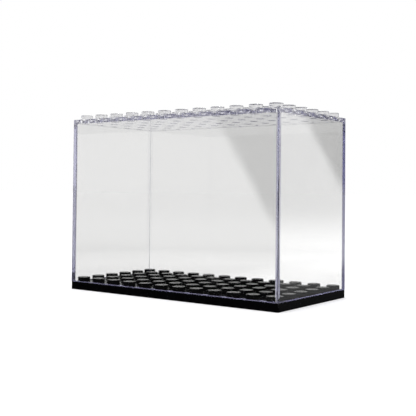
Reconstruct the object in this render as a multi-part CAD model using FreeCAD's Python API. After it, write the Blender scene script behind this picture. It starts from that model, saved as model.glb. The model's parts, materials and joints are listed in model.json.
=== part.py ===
import FreeCAD, Part
import math
import os

from FreeCAD import Vector

# A stackable display case for small figures: a black studded base plate and a clear cover that lifts off it.
# Millimetres. The origin is the middle of the underside, X runs along the long side and Z is up.

# The stud grid that the base, the cover and every case stacked above or below share
stud_pitch = 8.0
stud_diameter = 4.8
stud_height = 1.8
studs_along = 12
studs_across = 6
side_play = 0.1  # each side stands this far inside the grid, so that cases fit side by side
grip_clearance = 0.1  # between a stud and each wall or tube that locates it

# The base plate, hollow below so that it seats on the studs of another case
deck_thickness = 1.0
stud_headroom = 0.2  # left above a stud that stands in the hollow
base_corner_radius = 0.5
tube_wall = 0.7
tube_stride = 2  # a tube at every second crossing of the stud rows, so each tube serves four studs

# The clear cover, a box open at the bottom whose walls lean in for release from the mould
cover_height = 64.0
roof_thickness = 1.5
cover_draft = 0.18  # degrees
cover_corner_radius = 0.3
cavity_corner_radius = 0.3
lead_in = 0.35  # chamfer inside the bottom edge, which guides the cover over the studs

# Worked out from the sizes above
stud_radius = stud_diameter / 2
half_length = studs_along * stud_pitch / 2 - side_play
half_width = studs_across * stud_pitch / 2 - side_play
rim_wall = (stud_pitch - stud_diameter) / 2 - side_play - grip_clearance
base_height = deck_thickness + stud_height + stud_headroom
cover_top = base_height + cover_height
tube_radius = stud_pitch / math.sqrt(2) - stud_radius - grip_clearance


def centred_row(count, step):
    first = -(count - 1) * step / 2
    return [first + index * step for index in range(count)]


def stud_field(deck_level):
    return [
        Part.makeCylinder(stud_radius, stud_height, Vector(x, y, deck_level))
        for x in centred_row(studs_along, stud_pitch)
        for y in centred_row(studs_across, stud_pitch)
    ]


def clutch_tubes():
    """The tubes under the deck stand between the studs of the case below and locate them."""
    tubes = []
    for x in centred_row(studs_along - 1, stud_pitch)[::tube_stride]:
        for y in centred_row(studs_across - 1, stud_pitch)[::tube_stride]:
            foot = Vector(x, y, 0)
            outside = Part.makeCylinder(tube_radius, base_height - deck_thickness, foot)
            bore = Part.makeCylinder(tube_radius - tube_wall, base_height - deck_thickness, foot)
            tubes.append(outside.cut(bore))
    return tubes


def leaning_block(half_x, half_y, low, high, draft, corner_radius):
    """A block from low to high whose four sides lean in by the draft, with rounded upright edges."""
    inset = (high - low) * math.tan(math.radians(draft))
    block = Part.makeWedge(
        -half_x, low, -half_y,
        -half_y + inset, -half_x + inset,
        half_x, high, half_y,
        half_y - inset, half_x - inset,
    )
    block.rotate(Vector(0, 0, 0), Vector(1, 0, 0), 90)
    upright = [edge for edge in block.Edges if edge.BoundBox.ZLength > (high - low) / 2]
    return block.makeFillet(corner_radius, upright)


def base_plate():
    plate = leaning_block(half_length, half_width, 0, base_height, 0, base_corner_radius)
    hollow = Part.makeBox(
        2 * (half_length - rim_wall),
        2 * (half_width - rim_wall),
        base_height - deck_thickness,
        Vector(rim_wall - half_length, rim_wall - half_width, 0),
    )
    shell = plate.cut(hollow)
    return shell.multiFuse(stud_field(base_height) + clutch_tubes()).removeSplitter()


def clear_cover():
    outside = leaning_block(half_length, half_width, base_height, cover_top, cover_draft, cover_corner_radius)
    mouth_x = half_length - rim_wall
    mouth_y = half_width - rim_wall
    cavity = leaning_block(
        mouth_x, mouth_y, base_height, cover_top - roof_thickness, cover_draft, cavity_corner_radius
    )
    # The lead-in is the part of this steep block that stands outside the cavity
    guide = leaning_block(
        mouth_x + lead_in, mouth_y + lead_in, base_height, base_height + 2 * lead_in, 45, cavity_corner_radius
    )
    shell = outside.cut([cavity, guide])
    return shell.multiFuse(stud_field(cover_top)).removeSplitter()


os.makedirs("parts", exist_ok=True)
for node, shape in (("base_plate", base_plate()), ("clear_cover", clear_cover())):
    box = shape.BoundBox
    print(node, "solids", len(shape.Solids), "valid", shape.isValid(), "volume", round(shape.Volume, 1))
    print(node, "size", round(box.XLength, 3), round(box.YLength, 3), round(box.ZLength, 3))
    shape.exportStep("parts/" + node + ".step")
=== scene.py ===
import json
import math

import bmesh
import bpy
from mathutils import Matrix, Vector


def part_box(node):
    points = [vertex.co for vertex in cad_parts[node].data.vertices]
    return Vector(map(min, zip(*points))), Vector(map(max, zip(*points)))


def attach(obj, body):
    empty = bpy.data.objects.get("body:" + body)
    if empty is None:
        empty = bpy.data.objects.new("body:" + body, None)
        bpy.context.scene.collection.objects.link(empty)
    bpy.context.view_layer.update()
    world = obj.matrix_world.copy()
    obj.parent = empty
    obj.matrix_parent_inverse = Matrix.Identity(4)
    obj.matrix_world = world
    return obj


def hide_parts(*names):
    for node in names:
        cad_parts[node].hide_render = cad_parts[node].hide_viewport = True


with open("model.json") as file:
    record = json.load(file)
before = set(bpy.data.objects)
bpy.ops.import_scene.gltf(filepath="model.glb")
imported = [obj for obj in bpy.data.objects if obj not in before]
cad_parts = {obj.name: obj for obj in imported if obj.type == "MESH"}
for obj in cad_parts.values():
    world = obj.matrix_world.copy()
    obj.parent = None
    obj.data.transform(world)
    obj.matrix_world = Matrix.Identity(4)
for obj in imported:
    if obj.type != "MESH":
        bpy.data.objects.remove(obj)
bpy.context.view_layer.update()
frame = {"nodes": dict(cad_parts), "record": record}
scene = bpy.context.scene
mm = 0.001
quarterTurn = math.pi / 2
print("frame loaded:", ", ".join(sorted(frame["nodes"])))

# the stud that both mouldings share, and the grid that it stands in
mounts = {m["name"]: m for m in frame["record"]["mounts"]}
stud = {
    "pitch": 8 * mm,
    "counts": (12, 6),  # along and across
    "radius": mounts["cover_stud_front_left"]["dims"]["r_mm"] * mm,
    "height": mounts["cover_stud_front_left"]["dims"]["length_mm"] * mm,
    "edge": 0.16 * mm,  # rounding of the top edge
    "foot": 0.12 * mm,  # rounding where it meets the deck
    "steps": 8,  # facets per quarter turn
}


# mesh tools: loops of points that are skinned together, one closed shell per piece

meshing = {
    "cornerSteps": 5,  # facets of a rounded upright corner
    "edgeSteps": 3,  # and of a small rounding
    "join": 0.0005 * mm,  # points closer than this become one
    "flat": math.radians(1),  # a face that looks along an axis, or this near to it, is shaded flat
}


def stops(half, count, pitch, steps):
    # places along one side of a deck: count cells, the outer ones trimmed to the side's length
    edges = [max(-half, min(half, (i - count / 2) * pitch)) for i in range(count + 1)]
    places = [a + (b - a) * k / steps for a, b in zip(edges, edges[1:]) for k in range(steps)]
    return places + [half]


def ring(bm, xs, ys, out, z):
    # the rectangle xs by ys pushed outwards, which rounds its corners
    sides = [
        ([(x, ys[0]) for x in xs], -quarterTurn),
        ([(xs[-1], y) for y in ys], 0),
        ([(x, ys[-1]) for x in reversed(xs)], quarterTurn),
        ([(xs[0], y) for y in reversed(ys)], 2 * quarterTurn),
    ]
    steps, loop = meshing["cornerSteps"], []
    for points, heading in sides:
        turns = [heading + quarterTurn * k / steps for k in range(1, steps)]
        loop += [(x + out * math.cos(heading), y + out * math.sin(heading)) for x, y in points]
        loop += [(points[-1][0] + out * math.cos(t), points[-1][1] + out * math.sin(t)) for t in turns]
    return [bm.verts.new((x, y, z)) for x, y in loop]


def skin(bm, loops):
    for a, b in zip(loops, loops[1:]):
        for i in range(len(a)):
            bm.faces.new((a[i - 1], a[i], b[i], b[i - 1]))


def cell(bm, xs, ys, centre, profile):
    # a patch of deck with something round standing in it
    border = [(x, ys[0]) for x in xs[:-1]] + [(xs[-1], y) for y in ys[:-1]]
    border += [(x, ys[-1]) for x in reversed(xs[1:])] + [(xs[0], y) for y in reversed(ys[1:])]
    loops = [[bm.verts.new((x, y, profile[0][1])) for x, y in border]]
    frontLeft = -1.5 * quarterTurn  # the corner where the border starts
    angles = [2 * math.pi * i / len(border) + frontLeft for i in range(len(border))]
    for radius, z in profile:
        points = [(centre[0] + radius * math.cos(a), centre[1] + radius * math.sin(a), z) for a in angles]
        loops.append([bm.verts.new(point) for point in points])
    skin(bm, loops)
    bm.faces.new(loops[-1])


def cells(bm, xs, ys, steps, pitch, counts, profile):
    for i in range(counts[0]):
        for j in range(counts[1]):
            centre = ((i - (counts[0] - 1) / 2) * pitch, (j - (counts[1] - 1) / 2) * pitch)
            patchX = xs[i * steps:(i + 1) * steps + 1]
            patchY = ys[j * steps:(j + 1) * steps + 1]
            cell(bm, patchX, patchY, centre, profile)


def arc(out, z, radius, quadrant):
    # a quarter round about (out, z), as points that run against the clock
    steps = meshing["edgeSteps"]
    angles = [quarterTurn * (quadrant + k / steps) for k in range(steps + 1)]
    return [(out + radius * math.cos(a), z + radius * math.sin(a)) for a in angles]


def studProfile(deck):
    radius, top = stud["radius"], deck + stud["height"]
    foot, edge = stud["foot"], stud["edge"]
    side = [(radius, deck + 2 * foot), (radius, top - 2 * edge)]  # close to the roundings, for clean shading
    return arc(radius + foot, deck + foot, foot, 2)[::-1] + side + arc(radius - edge, top - edge, edge, 0)


def finishMesh(bm, name):
    bmesh.ops.remove_doubles(bm, verts=bm.verts, dist=meshing["join"])
    bmesh.ops.recalc_face_normals(bm, faces=bm.faces)
    bm.normal_update()
    for face in bm.faces:
        face.smooth = max(abs(c) for c in face.normal) < math.cos(meshing["flat"])
    openEdges = [edge for edge in bm.edges if len(edge.link_faces) != 2]
    mesh = bpy.data.meshes.new(name)
    bm.to_mesh(mesh)
    bm.free()
    made = bpy.data.objects.new(name, mesh)
    scene.collection.objects.link(made)
    print(name, "faces", len(mesh.polygons), "open edges", len(openEdges))
    return made


# base plate

base = {
    "deck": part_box("base_plate")[1].z - stud["height"],
    "half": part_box("base_plate")[1].xy,
    "corner": 0.5 * mm,  # rounding of the upright corners
    "edge": 0.15 * mm,  # and of the level edges
    "rim": 1.4 * mm,  # wall round the hollow below
    "ceiling": 2.0 * mm,  # height of the hollow
    "inner": 0.2 * mm,  # rounding inside it
    "tubes": (6, 3),  # along and across
    "tubeStride": 2,  # studs from one tube to the next
    "tubeRadius": 3.157 * mm,  # stands between four studs of a case below
    "tubeBore": mounts["underside_tubes"]["dims"]["hole_r_mm"] * mm,
    "tubeEdge": 0.1 * mm,
}


def buildBase():
    bm = bmesh.new()
    pitch, counts, steps = stud["pitch"], stud["counts"], stud["steps"]
    deck, corner, edge = base["deck"], base["corner"], base["edge"]
    xs, ys = [stops(half - corner, count, pitch, steps) for half, count in zip(base["half"], counts)]
    cells(bm, xs, ys, steps, pitch, counts, studProfile(deck))
    outside = [(0, deck)] + arc(corner - edge, deck - edge, edge, 0)[::-1]
    outside += arc(corner - edge, edge, edge, 3)[::-1]
    loops = [ring(bm, xs, ys, out, z) for out, z in outside]
    # the hollow below, with one cell for each tube
    pitch, steps, counts = base["tubeStride"] * pitch, base["tubeStride"] * steps, base["tubes"]
    ceiling, inner = base["ceiling"], base["inner"]
    hollow = [half - base["rim"] - inner for half in base["half"]]
    xs, ys = [stops(half, count, pitch, steps) for half, count in zip(hollow, counts)]
    inside = [(inner + edge, 0), (inner, edge)] + arc(0, ceiling - inner, inner, 0)
    loops += [ring(bm, xs, ys, out, z) for out, z in inside]
    skin(bm, loops)
    outer, bore, edge = base["tubeRadius"], base["tubeBore"], base["tubeEdge"]
    tube = [(outer + edge, ceiling), (outer, ceiling - edge), (outer, edge), (outer - edge, 0)]
    tube += [(bore + edge, 0), (bore, edge), (bore, ceiling - edge), (bore - edge, ceiling)]
    cells(bm, xs, ys, steps, pitch, counts, tube)
    return finishMesh(bm, "studdedBase")


# clear cover

cover = {
    "deck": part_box("clear_cover")[1].z - stud["height"],
    "foot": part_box("clear_cover")[0].z,
    "half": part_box("clear_cover")[1].xy,
    "draft": math.radians(0.18),
    "corner": 0.3 * mm,  # rounding of the upright corners outside
    "inner": 0.3 * mm,  # and inside
    "edge": 0.1 * mm,  # rounding of the edges round the deck
    "footEdge": 0.03 * mm,
    "roofEdge": 0.06 * mm,  # where the walls meet the roof inside
    "wall": 1.4 * mm,
    "roof": 1.5 * mm,
    "recess": {"radius": 1.5 * mm, "depth": 1.4 * mm, "edge": 0.1 * mm},  # hollow under each stud
    "leadIn": 0.35 * mm,  # chamfer inside the foot
    "seat": 0.02 * mm,  # air left under the foot, where it rests on the high spots of the deck
}


def buildCover():
    bm = bmesh.new()
    pitch, counts, steps = stud["pitch"], stud["counts"], stud["steps"]

    def sides(wall, z, rounding):
        # the stops of the outside (wall 0) or inside at that height
        lean = (z - cover["foot"]) * math.tan(cover["draft"])
        halves = [half - wall - lean - rounding for half in cover["half"]]
        return [stops(half, count, pitch, steps) for half, count in zip(halves, counts)]

    deck, corner, edge = cover["deck"], cover["corner"], cover["edge"]
    top = sides(0, deck, corner)
    cells(bm, *top, steps, pitch, counts, studProfile(deck))
    loops = [ring(bm, *top, 0, deck)]
    loops += [ring(bm, *top, out, z) for out, z in arc(corner - edge, deck - edge, edge, 0)[::-1]]
    # down the outside, and in at the foot
    foot, edge = cover["foot"] + cover["seat"], cover["footEdge"]
    low = sides(0, cover["foot"], corner)
    loops += [ring(bm, *low, out, z) for out, z in arc(corner - edge, foot + edge, edge, 3)[::-1]]
    inner, lead = cover["inner"], cover["leadIn"]
    mouth = sides(cover["wall"], cover["foot"], inner)
    loops += [ring(bm, *mouth, out, z) for out, z in [(inner + lead, foot), (inner, foot + lead)]]
    # up the inside to the roof
    ceiling, edge = deck - cover["roof"], cover["roofEdge"]
    roof = sides(cover["wall"], ceiling, inner)
    rounding = arc(inner - edge, ceiling - edge, edge, 0)
    loops += [ring(bm, *roof, out, z) for out, z in rounding + [(0, ceiling)]]
    skin(bm, loops)
    radius, depth, edge = [cover["recess"][size] for size in ("radius", "depth", "edge")]
    end = ceiling + depth
    hollow = [(radius + edge, ceiling), (radius, ceiling + edge), (radius, ceiling + 2 * edge)]
    hollow += [(radius, end - 2 * edge), (radius, end - edge), (radius - edge, end)]
    cells(bm, *roof, steps, pitch, counts, hollow)
    return finishMesh(bm, "clearCover")


basePiece = buildBase()
coverPiece = buildCover()


# material tools

def material(name):
    made = bpy.data.materials.new(name)
    made.use_nodes = True
    made.node_tree.nodes.clear()
    return made, made.node_tree


def add(tree, kind, inputs=None, **settings):
    made = tree.nodes.new(kind)
    for key, value in settings.items():
        setattr(made, key, value)
    for key, value in (inputs or {}).items():
        if isinstance(value, bpy.types.NodeSocket):
            tree.links.new(value, made.inputs[key])
        else:
            made.inputs[key].default_value = value
    return made


def noise(tree, where, scale, detail=2.0, rough=0.5):
    inputs = {"Vector": where, "Scale": scale, "Detail": detail, "Roughness": rough}
    return add(tree, "ShaderNodeTexNoise", inputs).outputs["Fac"]


def remap(tree, value, low, high, toLow=0.0, toHigh=1.0):
    inputs = {"Value": value, "From Min": low, "From Max": high, "To Min": toLow, "To Max": toHigh}
    return add(tree, "ShaderNodeMapRange", inputs).outputs["Result"]


def maths(tree, operation, *values):
    return add(tree, "ShaderNodeMath", dict(enumerate(values)), operation=operation).outputs[0]


def bumps(tree, height, strength, distance):
    inputs = {"Height": height, "Strength": strength, "Distance": distance}
    return add(tree, "ShaderNodeBump", inputs).outputs["Normal"]


def mixShaders(tree, factor, first, second):
    return add(tree, "ShaderNodeMixShader", {0: factor, 1: first.outputs[0], 2: second.outputs[0]})


def scratches(tree, where, turn, length, width, amount, fade=0.03):
    # long thin streaks along one direction, from noise stretched hard along it
    inputs = {"Vector": where, "Rotation": turn, "Scale": (1 / width, 1 / width, 1 / length)}
    stretched = add(tree, "ShaderNodeMapping", inputs).outputs["Vector"]
    streaks = noise(tree, stretched, scale=1.0, detail=0.0)
    return remap(tree, streaks, 1 - amount, 1 - amount + fade)


# clear plastic: polished polystyrene, violet where light runs along inside it

clear = {
    "ior": 1.57,
    "colour": (0.99, 0.99, 0.978, 1),
    "tint": (0.25, 0.24, 0.535, 1),
    "density": 18.0,  # of the tint, per metre
    "polish": 0.012,  # roughness of a clean face
    "smudge": {"scale": 55.0, "detail": 3.0},
    "smudgeFade": (0.45, 0.75),
    "smudgeRough": 0.05,
    "hairlines": [
        {"turn": (0.7, 0.4, 0.2), "length": 14 * mm, "width": 0.11 * mm, "amount": 0.2},
        {"turn": (-0.5, 1.1, 0.9), "length": 9 * mm, "width": 0.09 * mm, "amount": 0.195},
    ],
    "hairlineRough": 0.12,
    "wave": {"scale": 70.0, "detail": 1.0},  # slow waves from the mould
    "waveStrength": 0.2,
    "waveHeight": 0.05 * mm,
    "shade": (0.93, 0.93, 0.945, 1),  # what a lamp's light keeps at each face
}


def clearPlastic():
    made, tree = material("clear_plastic")
    where = add(tree, "ShaderNodeTexCoord").outputs["Object"]
    smudge = remap(tree, noise(tree, where, **clear["smudge"]), *clear["smudgeFade"])
    rough = maths(tree, "MULTIPLY_ADD", smudge, clear["smudgeRough"], clear["polish"])
    hair = maths(tree, "MAXIMUM", *(scratches(tree, where, **line) for line in clear["hairlines"]))
    rough = maths(tree, "MULTIPLY_ADD", hair, clear["hairlineRough"], rough)
    wave = noise(tree, where, **clear["wave"])
    glass = add(tree, "ShaderNodeBsdfPrincipled", {
        "Base Color": clear["colour"],
        "Roughness": rough,
        "IOR": clear["ior"],
        "Transmission Weight": 1.0,
        "Normal": bumps(tree, wave, clear["waveStrength"], clear["waveHeight"]),
    })
    # lamps shine straight through
    path = add(tree, "ShaderNodeLightPath").outputs
    through = add(tree, "ShaderNodeBsdfTransparent", {"Color": clear["shade"]})
    passing = maths(tree, "MAXIMUM", path["Is Shadow Ray"], path["Is Diffuse Ray"])
    surface = mixShaders(tree, passing, glass, through)
    inside = add(tree, "ShaderNodeVolumeAbsorption", {"Color": clear["tint"], "Density": clear["density"]})
    add(tree, "ShaderNodeOutputMaterial", {"Surface": surface.outputs[0], "Volume": inside.outputs[0]})
    return made


# black plastic: semi-gloss, a fine grain from the mould, scuffed a little

black = {
    "deep": (0.0006, 0.0006, 0.0008, 1),
    "worn": (0.002, 0.002, 0.0026, 1),
    "cloud": {"scale": 160.0, "detail": 4.0, "rough": 0.6},  # patches that are duller and paler
    "cloudFade": (0.3, 0.7),
    "cloudWear": 0.5,  # wear between the scuffs
    "rough": (0.14, 0.24),
    "scuff": {"turn": (1.4, 0.3, 0.6), "length": 5 * mm, "width": 0.1 * mm, "amount": 0.3},
    "scuffRough": 0.12,
    "specular": 0.055,
    "grainScale": 5200.0,
    "grainStrength": 0.6,
    "grainHeight": 0.002 * mm,
}


def blackPlastic():
    made, tree = material("black_plastic")
    where = add(tree, "ShaderNodeTexCoord").outputs["Object"]
    cloud = noise(tree, where, **black["cloud"])
    scuff = scratches(tree, where, **black["scuff"])
    wear = maths(tree, "MULTIPLY", cloud, maths(tree, "ADD", scuff, black["cloudWear"]))
    colour = add(tree, "ShaderNodeMix", {0: wear, 6: black["deep"], 7: black["worn"]}, data_type="RGBA")
    rough = remap(tree, cloud, *black["cloudFade"], *black["rough"])
    grain = noise(tree, where, black["grainScale"])
    plastic = add(tree, "ShaderNodeBsdfPrincipled", {
        "Base Color": colour.outputs[2],
        "Roughness": maths(tree, "MULTIPLY_ADD", scuff, black["scuffRough"], rough),
        "Specular IOR Level": black["specular"],
        "Normal": bumps(tree, grain, black["grainStrength"], black["grainHeight"]),
    })
    add(tree, "ShaderNodeOutputMaterial", {"Surface": plastic.outputs[0]})
    return made


for piece, body, node, slot, look in (
    (basePiece, "base", "base_plate", "black_plastic", blackPlastic()),
    (coverPiece, "cover", "clear_cover", "clear_plastic", clearPlastic()),
):
    piece.data.materials.append(look)
    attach(piece, body)
    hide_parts(node)
print("pieces dressed")


# studio: white to the camera, pale grey through the cover, with screens that show in reflections off one face

up = (0, 0, 1)
toFront = (0, -1, 0)
white = (1, 1, 1, 1)

screens = {
    "level": 1.3,
    "gaps": [  # where the screens end: which way the gap lies, and the quarter that it is in
        {"side": (0.7367, -0.4746, 0.4817), "quarter": (-0.6, -0.8, 0)},
        {"side": (-0.7935, 0.3939, 0.4637), "quarter": (0.5, 0.86, 0)},
    ],
    "gapFade": (-0.005, 0.005),
    "quarterFade": (0.6, 0.8),
    "back": {"aim": (-0.594, 0.804, 0), "fade": (0.6, 0.9), "level": 0.6},  # dimmer where the stud tops look
    "high": {"aim": up, "fade": (0.3, 0.6), "level": 0.35},  # and overhead
}


def blend(tree, a, b, factor):
    return add(tree, "ShaderNodeMix", {"Factor": factor, "A": a, "B": b}).outputs["Result"]


def bounces(tree, path):
    # light off one face of the object, and light that ran along inside a wall
    once = maths(tree, "COMPARE", path["Glossy Depth"], 1.0, 0.1)
    return once, maths(tree, "GREATER_THAN", path["Glossy Depth"], 1.5)


def towards(tree, heading, axis):
    return add(tree, "ShaderNodeVectorMath", {0: heading, 1: axis}, operation="DOT_PRODUCT").outputs["Value"]


def screenTone(tree, heading, gaps):
    tone = screens["level"]
    for gap in gaps:
        edge = remap(tree, towards(tree, heading, gap["side"]), *screens["gapFade"])
        quarter = remap(tree, towards(tree, heading, gap["quarter"]), *screens["quarterFade"])
        dark = maths(tree, "MULTIPLY", edge, quarter)
        tone = maths(tree, "MULTIPLY", maths(tree, "SUBTRACT", 1.0, dark), tone)
    for part in (screens["back"], screens["high"]):
        kept = remap(tree, towards(tree, heading, part["aim"]), *part["fade"], 1.0, part["level"])
        tone = maths(tree, "MULTIPLY", tone, kept)
    return tone


backdrop = {
    "sky": 0.72,
    "room": (0.95, 0.1),  # low and high, for light that has run along inside a wall
    "roomFade": (0.35, 0.5),
    "front": 1.1,  # the same light towards the front
    "frontFade": (0.0, 0.3),
    # seen in reflections and through the clear plastic, up to so many bounces; it fades between the angles
    "overhead": {"aim": (0.25, 0.1, 1), "level": 1.7, "angles": (46, 32), "bounces": 3.5},
}


def buildWorld():
    world = bpy.data.worlds.new("studio")
    scene.world = world
    world.use_nodes = True
    tree = world.node_tree
    tree.nodes.clear()
    path = add(tree, "ShaderNodeLightPath").outputs
    heading = add(tree, "ShaderNodeTexCoord").outputs["Generated"]
    once, guided = bounces(tree, path)
    shade = blend(tree, backdrop["sky"], screenTone(tree, heading, screens["gaps"]), once)
    room = remap(tree, towards(tree, heading, up), *backdrop["roomFade"], *backdrop["room"])
    front = remap(tree, towards(tree, heading, toFront), *backdrop["frontFade"])
    shade = blend(tree, shade, blend(tree, room, backdrop["front"], front), guided)
    overhead = backdrop["overhead"]
    aimed = towards(tree, heading, Vector(overhead["aim"]).normalized())
    fade = [math.cos(math.radians(angle)) for angle in overhead["angles"]]
    glow = remap(tree, aimed, *fade, 0.0, overhead["level"])
    seen = maths(tree, "LESS_THAN", path["Glossy Depth"], overhead["bounces"])
    seen = maths(tree, "MULTIPLY", seen, maths(tree, "SUBTRACT", 1.0, path["Is Diffuse Ray"]))
    shade = maths(tree, "ADD", shade, maths(tree, "MULTIPLY", glow, seen))
    around = add(tree, "ShaderNodeBackground", {"Color": white, "Strength": shade})
    plain = add(tree, "ShaderNodeBackground", {"Color": white, "Strength": 1.0})
    surface = mixShaders(tree, path["Is Camera Ray"], around, plain)
    add(tree, "ShaderNodeOutputWorld", {"Surface": surface.outputs[0]})


paper = {
    "half": 8.0,  # metres, as are the distances below
    "drop": 0.02 * mm,  # below the rim that stands on it
    "colour": (0.74, 0.74, 0.74, 1),
    "lift": 0.38,  # makes the lit floor white for the camera, and leaves the shadow
    "through": (0.22, 0.5),  # painted light: the same lift as a pool of light on the floor close by, dimmer left and brighter right, seen through the cover and shining on the pieces
    "paintedPoolFade": (-0.04, 0.0),
    "near": (0.13, 0.23),  # from the middle, where close by runs into far out
    # tones in reflections, close by and far out; the dark close-by tones are painted shade round the object,
    # seen only in reflections
    "tones": {"behind": (0.06, 0.72), "front": (0.02, 0.85), "right": (0.26, 1.9)},
    "frontFade": (0.0, -0.05),
    "rightFade": (0.02, 0.08),
    "outerFaces": 2.5,  # light that came through fewer faces is off a near wall, the rest off a far one
    "horizon": {"outer": (0.35, 1.4), "inner": (0.35, 5.0)},  # where it runs into the screens, off either
    # the places on the cover from which the screens' direction is taken
    "nearEdge": (44 * mm, -24 * mm, 30 * mm),
    "backWall": (10 * mm, 24 * mm, 30 * mm),
}


def floorLook():
    made, tree = material("studio_floor")
    path = add(tree, "ShaderNodeLightPath").outputs
    geometry = add(tree, "ShaderNodeNewGeometry").outputs
    spot = geometry["Position"]
    away = add(tree, "ShaderNodeVectorMath", {0: spot}, operation="LENGTH").outputs["Value"]
    near = remap(tree, away, *paper["near"], 1.0, 0.0)
    place = add(tree, "ShaderNodeSeparateXYZ", {0: spot}).outputs
    outer = maths(tree, "LESS_THAN", path["Transmission Depth"], paper["outerFaces"])
    front = remap(tree, place["Y"], *paper["frontFade"])
    right = maths(tree, "MULTIPLY", remap(tree, place["X"], *paper["rightFade"]), outer)
    tones = zip(*(paper["tones"][side] for side in ("behind", "front", "right")))
    # the close-by tones are painted shade round the object, shown only in its reflections
    paintedShadeClose, far = [blend(tree, blend(tree, a, b, front), c, right) for a, b, c in tones]
    # far out the floor takes on the tone of the screens, so that no horizon shows in the walls
    walls = {0: outer, 4: paper["backWall"], 5: paper["nearEdge"]}
    mirror = add(tree, "ShaderNodeMix", walls, data_type="VECTOR").outputs[1]
    outward = add(tree, "ShaderNodeVectorMath", {0: spot, 1: mirror}, operation="SUBTRACT").outputs[0]
    outward = add(tree, "ShaderNodeVectorMath", {0: outward}, operation="NORMALIZE").outputs[0]
    nearness = maths(tree, "DIVIDE", 1.0, away)
    reaches = [[1 / distance for distance in paper["horizon"][wall]] for wall in ("inner", "outer")]
    horizon = blend(tree, *(remap(tree, nearness, *reach) for reach in reaches), outer)
    far = blend(tree, far, screenTone(tree, outward, screens["gaps"][:1]), horizon)
    once, guided = bounces(tree, path)
    # painted light: a glowing pool on the floor close by for every ray but the camera's, none for light that
    # ran along inside a wall
    paintedLightPool = maths(tree, "MULTIPLY", near, remap(tree, place["X"], *paper["paintedPoolFade"], *paper["through"]))
    paintedLightPool = blend(tree, paintedLightPool, 0.0, guided)
    lift = blend(tree, paintedLightPool, paper["lift"], path["Is Camera Ray"])
    sheet = add(tree, "ShaderNodeAddShader", {
        0: add(tree, "ShaderNodeBsdfDiffuse", {"Color": paper["colour"]}).outputs[0],
        1: add(tree, "ShaderNodeEmission", {"Strength": lift}).outputs[0],
    })
    mirrored = add(tree, "ShaderNodeEmission", {"Strength": blend(tree, far, paintedShadeClose, near)})
    above = mixShaders(tree, once, sheet, mirrored)
    below = add(tree, "ShaderNodeBsdfTransparent")  # so that the underside can be seen
    surface = mixShaders(tree, geometry["Backfacing"], above, below)
    add(tree, "ShaderNodeOutputMaterial", {"Surface": surface.outputs[0]})
    return made


def buildFloor():
    half = paper["half"]
    corners = [(-half, -half, 0), (half, -half, 0), (half, half, 0), (-half, half, 0)]
    mesh = bpy.data.meshes.new("studioFloor")
    mesh.from_pydata(corners, [], [(0, 1, 2, 3)])
    mesh.materials.append(floorLook())
    floor = bpy.data.objects.new("studioFloor", mesh)
    floor.location.z = -paper["drop"]
    scene.collection.objects.link(floor)


lamps = {
    "topBox": {"power": 1.2, "size": (0.16, 0.12), "spot": (-0.1, 0.25, 0.8)},
    "suns": {
        "key": {"power": 0.8, "angle": 50, "aim": (0.9, 0.55, -1.2)},
        "fill": {"power": 0.3, "angle": 70, "aim": (-1.0, -0.3, -0.7)},
    },
}


def buildLamps():
    top = lamps["topBox"]
    lamp = bpy.data.lights.new("topBox", "AREA")
    lamp.shape = "RECTANGLE"
    lamp.size, lamp.size_y = top["size"]
    lamp.energy = top["power"]
    shown = bpy.data.objects.new("topBox", lamp)
    shown.location = top["spot"]
    shown.rotation_euler = (-shown.location).to_track_quat("-Z", "Y").to_euler()
    shown.visible_camera = False
    scene.collection.objects.link(shown)
    for name, sun in lamps["suns"].items():
        lamp = bpy.data.lights.new(name, "SUN")
        lamp.energy = sun["power"]
        lamp.angle = math.radians(sun["angle"])
        shown = bpy.data.objects.new(name, lamp)
        shown.rotation_euler = Vector(sun["aim"]).to_track_quat("-Z", "Y").to_euler()
        shown.visible_glossy = False  # or they flare in the cover's foot
        shown.visible_transmission = False
        scene.collection.objects.link(shown)


buildWorld()
buildFloor()
buildLamps()
print("studio set")


# camera where the photo was taken from

viewpoint = {
    "spot": (0.179793, -0.241967, 0.039468),
    "turn": 0.635087,  # radians, as are the next two
    "tilt": 0.003426,
    "roll": -0.009847,
    "picture": 416,  # pixels across
    "focal": 781.795,  # pixels
    "shiftY": -20,  # pixels
    "sensor": 36,
    "clip": 0.01,
}
lens = bpy.data.cameras.new("photoCamera")
lens.sensor_width = viewpoint["sensor"]
lens.lens = viewpoint["focal"] / viewpoint["picture"] * viewpoint["sensor"]
lens.shift_y = viewpoint["shiftY"] / viewpoint["picture"]
lens.clip_start = viewpoint["clip"]
camera = bpy.data.objects.new("photoCamera", lens)
facing = Matrix.Rotation(viewpoint["turn"], 4, "Z") @ Matrix.Rotation(viewpoint["tilt"], 4, "X")
facing = facing @ Matrix.Rotation(viewpoint["roll"], 4, "Y") @ Matrix.Rotation(quarterTurn, 4, "X")
camera.matrix_world = Matrix.Translation(viewpoint["spot"]) @ facing
scene.collection.objects.link(camera)
scene.camera = camera

scene.view_settings.view_transform = "Standard"
lightBounces = 128  # light runs the length of a clear wall inside it, with some fifty bounces
scene.cycles.max_bounces = lightBounces
scene.cycles.glossy_bounces = lightBounces
scene.cycles.transmission_bounces = lightBounces
scene.cycles.transparent_max_bounces = lightBounces // 2
print("camera set")
